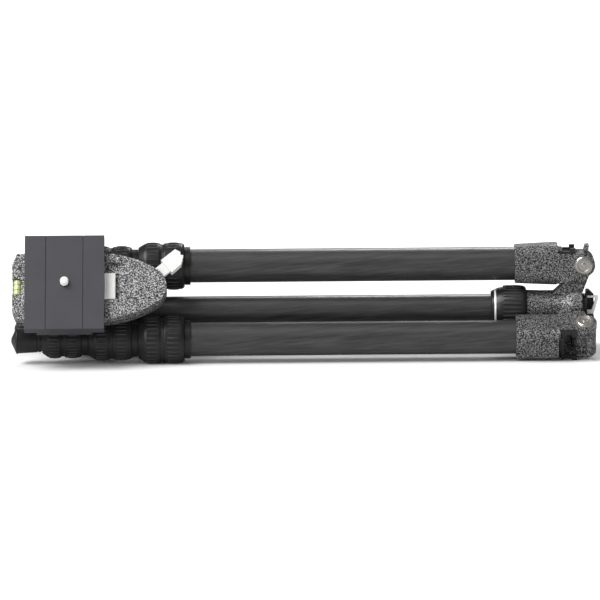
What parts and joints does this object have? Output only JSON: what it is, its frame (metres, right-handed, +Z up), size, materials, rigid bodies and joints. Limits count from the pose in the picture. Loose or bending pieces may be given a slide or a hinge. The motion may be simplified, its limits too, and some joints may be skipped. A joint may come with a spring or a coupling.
{
  "type": "folding camera tripod",
  "caption": "Travel tripod with twist-lock carbon legs folded back round a ball head with a quick-release plate, lying on its side.",
  "frame": {"origin": "centre of the bounding box on the surface the folded tripod lies on", "axes": "+X along the column towards the shoulder and its hook, +Z up with leg 1 on top, the camera plate facing -Y and up"},
  "size_m": [0.4386, 0.1172, 0.0967],
  "materials": {
    "carbon_tube": "glossy woven carbon look",
    "hammertone_casting": "hammered two-tone paint",
    "grip_rubber": "matte",
    "bright_steel": "polished",
    "level_glass": "clear tinted",
    "black_plastic": "matte",
    "plate_aluminium": "satin anodised",
    "black_aluminium": "satin anodised"
  },
  "bodies": {
    "shoulder": {"shoulder_casting": "hammertone_casting", "hinge_bolt_1": "bright_steel", "hinge_bolt_2": "bright_steel", "hinge_bolt_3": "bright_steel"},
    "leg_1": {"leg_1_casting": "hammertone_casting", "leg_1_tube_1": "carbon_tube", "leg_1_sleeve_1": "black_aluminium"},
    "leg_1_catch": {"leg_1_angle_catch": "black_plastic"},
    "leg_1_section_2": {"leg_1_tube_2": "carbon_tube", "leg_1_sleeve_2": "black_aluminium"},
    "leg_1_lock_1": {"leg_1_collar_1": "grip_rubber"},
    "leg_1_section_3": {"leg_1_tube_3": "carbon_tube", "leg_1_sleeve_3": "black_aluminium"},
    "leg_1_lock_2": {"leg_1_collar_2": "grip_rubber"},
    "leg_1_section_4": {"leg_1_tube_4": "carbon_tube", "leg_1_foot": "grip_rubber"},
    "leg_1_lock_3": {"leg_1_collar_3": "grip_rubber"},
    "leg_2": {"leg_2_casting": "hammertone_casting", "leg_2_tube_1": "carbon_tube", "leg_2_sleeve_1": "black_aluminium"},
    "leg_2_catch": {"leg_2_angle_catch": "black_plastic"},
    "leg_2_section_2": {"leg_2_tube_2": "carbon_tube", "leg_2_sleeve_2": "black_aluminium"},
    "leg_2_lock_1": {"leg_2_collar_1": "grip_rubber"},
    "leg_2_section_3": {"leg_2_tube_3": "carbon_tube", "leg_2_sleeve_3": "black_aluminium"},
    "leg_2_lock_2": {"leg_2_collar_2": "grip_rubber"},
    "leg_2_section_4": {"leg_2_tube_4": "carbon_tube", "leg_2_foot": "grip_rubber"},
    "leg_2_lock_3": {"leg_2_collar_3": "grip_rubber"},
    "leg_3": {"leg_3_casting": "hammertone_casting", "leg_3_tube_1": "carbon_tube", "leg_3_sleeve_1": "black_aluminium"},
    "leg_3_catch": {"leg_3_angle_catch": "black_plastic"},
    "leg_3_section_2": {"leg_3_tube_2": "carbon_tube", "leg_3_sleeve_2": "black_aluminium"},
    "leg_3_lock_1": {"leg_3_collar_1": "grip_rubber"},
    "leg_3_section_3": {"leg_3_tube_3": "carbon_tube", "leg_3_sleeve_3": "black_aluminium"},
    "leg_3_lock_2": {"leg_3_collar_2": "grip_rubber"},
    "leg_3_section_4": {"leg_3_tube_4": "carbon_tube", "leg_3_foot": "grip_rubber"},
    "leg_3_lock_3": {"leg_3_collar_3": "grip_rubber"},
    "column": {"column_tube": "carbon_tube", "column_end_plug": "black_aluminium", "column_top_plate": "black_aluminium", "head_base": "black_aluminium"},
    "column_lock": {"column_lock_collar": "grip_rubber"},
    "hook": {"column_hook": "bright_steel"},
    "ball_housing": {"ball_housing": "black_aluminium"},
    "ball_lock_knob": {"ball_lock_knob": "black_aluminium"},
    "pan_lock_knob": {"pan_lock_knob": "black_aluminium"},
    "ball": {"ball": "bright_steel"},
    "clamp": {"clamp_base": "hammertone_casting", "clamp_body": "hammertone_casting", "level_vial": "level_glass"},
    "clamp_lever": {"clamp_lever": "bright_steel"},
    "clamp_jaw": {"clamp_jaw": "bright_steel"},
    "camera_plate": {"camera_plate": "plate_aluminium"},
    "camera_screw": {"camera_screw": "bright_steel"}
  },
  "joints": [
    {"name": "leg_1_swing", "type": "hinge", "parent": "shoulder", "child": "leg_1", "pos_m": [0.2073, 0.01183, 0.06847], "axis": [0, 1, 0], "range_deg": [0, 180]},
    {"name": "leg_1_catch_slide", "type": "slide", "parent": "leg_1", "child": "leg_1_catch", "axis": [1, 0, 0], "range_m": [0, 0.0045], "stiffness_N_per_m": 300},
    {"name": "leg_1_section_2_slide", "type": "slide", "parent": "leg_1", "child": "leg_1_section_2", "axis": [-1, 0, 0], "range_m": [0, 0.225]},
    {"name": "leg_1_lock_1_turn", "type": "hinge", "parent": "leg_1", "child": "leg_1_lock_1", "pos_m": [-0.09, 0.01183, 0.06847], "axis": [-1, 0, 0], "range_deg": [0, 120]},
    {"name": "leg_1_section_3_slide", "type": "slide", "parent": "leg_1_section_2", "child": "leg_1_section_3", "axis": [-1, 0, 0], "range_m": [0, 0.25]},
    {"name": "leg_1_lock_2_turn", "type": "hinge", "parent": "leg_1_section_2", "child": "leg_1_lock_2", "pos_m": [-0.1291, 0.01183, 0.06847], "axis": [-1, 0, 0], "range_deg": [0, 120]},
    {"name": "leg_1_section_4_slide", "type": "slide", "parent": "leg_1_section_3", "child": "leg_1_section_4", "axis": [-1, 0, 0], "range_m": [0, 0.28]},
    {"name": "leg_1_lock_3_turn", "type": "hinge", "parent": "leg_1_section_3", "child": "leg_1_lock_3", "pos_m": [-0.1663, 0.01183, 0.06847], "axis": [-1, 0, 0], "range_deg": [0, 120]},
    {"name": "leg_2_swing", "type": "hinge", "parent": "shoulder", "child": "leg_2", "pos_m": [0.2073, -0.01762, 0.01747], "axis": [0, -0.5, 0.866], "range_deg": [0, 180]},
    {"name": "leg_2_catch_slide", "type": "slide", "parent": "leg_2", "child": "leg_2_catch", "axis": [1, 0, 0], "range_m": [0, 0.0045], "stiffness_N_per_m": 300},
    {"name": "leg_2_section_2_slide", "type": "slide", "parent": "leg_2", "child": "leg_2_section_2", "axis": [-1, 0, 0], "range_m": [0, 0.225]},
    {"name": "leg_2_lock_1_turn", "type": "hinge", "parent": "leg_2", "child": "leg_2_lock_1", "pos_m": [-0.09, -0.01762, 0.01747], "axis": [-1, 0, 0], "range_deg": [0, 120]},
    {"name": "leg_2_section_3_slide", "type": "slide", "parent": "leg_2_section_2", "child": "leg_2_section_3", "axis": [-1, 0, 0], "range_m": [0, 0.25]},
    {"name": "leg_2_lock_2_turn", "type": "hinge", "parent": "leg_2_section_2", "child": "leg_2_lock_2", "pos_m": [-0.1291, -0.01762, 0.01747], "axis": [-1, 0, 0], "range_deg": [0, 120]},
    {"name": "leg_2_section_4_slide", "type": "slide", "parent": "leg_2_section_3", "child": "leg_2_section_4", "axis": [-1, 0, 0], "range_m": [0, 0.28]},
    {"name": "leg_2_lock_3_turn", "type": "hinge", "parent": "leg_2_section_3", "child": "leg_2_lock_3", "pos_m": [-0.1663, -0.01762, 0.01747], "axis": [-1, 0, 0], "range_deg": [0, 120]},
    {"name": "leg_3_swing", "type": "hinge", "parent": "shoulder", "child": "leg_3", "pos_m": [0.2073, 0.04127, 0.01747], "axis": [0, -0.5, -0.866], "range_deg": [0, 180]},
    {"name": "leg_3_catch_slide", "type": "slide", "parent": "leg_3", "child": "leg_3_catch", "axis": [1, 0, 0], "range_m": [0, 0.0045], "stiffness_N_per_m": 300},
    {"name": "leg_3_section_2_slide", "type": "slide", "parent": "leg_3", "child": "leg_3_section_2", "axis": [-1, 0, 0], "range_m": [0, 0.225]},
    {"name": "leg_3_lock_1_turn", "type": "hinge", "parent": "leg_3", "child": "leg_3_lock_1", "pos_m": [-0.09, 0.04127, 0.01747], "axis": [-1, 0, 0], "range_deg": [0, 120]},
    {"name": "leg_3_section_3_slide", "type": "slide", "parent": "leg_3_section_2", "child": "leg_3_section_3", "axis": [-1, 0, 0], "range_m": [0, 0.25]},
    {"name": "leg_3_lock_2_turn", "type": "hinge", "parent": "leg_3_section_2", "child": "leg_3_lock_2", "pos_m": [-0.1291, 0.04127, 0.01747], "axis": [-1, 0, 0], "range_deg": [0, 120]},
    {"name": "leg_3_section_4_slide", "type": "slide", "parent": "leg_3_section_3", "child": "leg_3_section_4", "axis": [-1, 0, 0], "range_m": [0, 0.28]},
    {"name": "leg_3_lock_3_turn", "type": "hinge", "parent": "leg_3_section_3", "child": "leg_3_lock_3", "pos_m": [-0.1663, 0.04127, 0.01747], "axis": [-1, 0, 0], "range_deg": [0, 120]},
    {"name": "column_slide", "type": "slide", "parent": "shoulder", "child": "column", "axis": [1, 0, 0], "range_m": [0, 0.25]},
    {"name": "column_lock_turn", "type": "hinge", "parent": "shoulder", "child": "column_lock", "pos_m": [0.1652, 0.01183, 0.03447], "axis": [-1, 0, 0], "range_deg": [0, 90]},
    {"name": "hook_pull", "type": "slide", "parent": "column", "child": "hook", "axis": [1, 0, 0], "range_m": [0, 0.005], "stiffness_N_per_m": 100},
    {"name": "head_pan", "type": "hinge", "parent": "column", "child": "ball_housing", "pos_m": [-0.1885, 0.01183, 0.03447], "axis": [1, 0, 0], "range_deg": [0, 6]},
    {"name": "ball_lock_turn", "type": "hinge", "parent": "ball_housing", "child": "ball_lock_knob", "pos_m": [-0.1805, 0.02568, 0.04247], "axis": [0, 0.866, 0.5], "range_deg": [0, 270]},
    {"name": "pan_lock_turn", "type": "hinge", "parent": "ball_housing", "child": "pan_lock_knob", "pos_m": [-0.161, 0.02568, 0.04247], "axis": [0, 0.866, 0.5], "range_deg": [0, 270]},
    {"name": "ball_tilt", "type": "hinge", "parent": "ball_housing", "child": "ball", "pos_m": [-0.1885, 0.01183, 0.03447], "axis": [0, -0.5, -0.866], "range_deg": [0, 90]},
    {"name": "clamp_turn", "type": "hinge", "parent": "ball", "child": "clamp", "pos_m": [-0.1885, -0.02108, 0.05347], "axis": [0, -0.866, 0.5], "continuous": true},
    {"name": "clamp_lever_swing", "type": "hinge", "parent": "clamp", "child": "clamp_lever", "pos_m": [-0.113, -0.02091, 0.06377], "axis": [0, 0.866, -0.5], "range_deg": [0, 45]},
    {"name": "clamp_jaw_slide", "type": "slide", "parent": "clamp", "child": "clamp_jaw", "axis": [1, 0, 0], "range_m": [0, 0.003]},
    {"name": "camera_plate_slide", "type": "slide", "parent": "clamp", "child": "camera_plate", "axis": [0, 0.5, 0.866], "range_m": [0, 0.075]},
    {"name": "camera_screw_turn", "type": "hinge", "parent": "camera_plate", "child": "camera_screw", "pos_m": [-0.1785, -0.04001, 0.0644], "axis": [0, -0.866, 0.5], "continuous": true}
  ],
  "couplings": [
    {"joint": "clamp_lever_swing", "follows": "clamp_jaw_slide", "rad_per_m": 261.8}
  ]
}
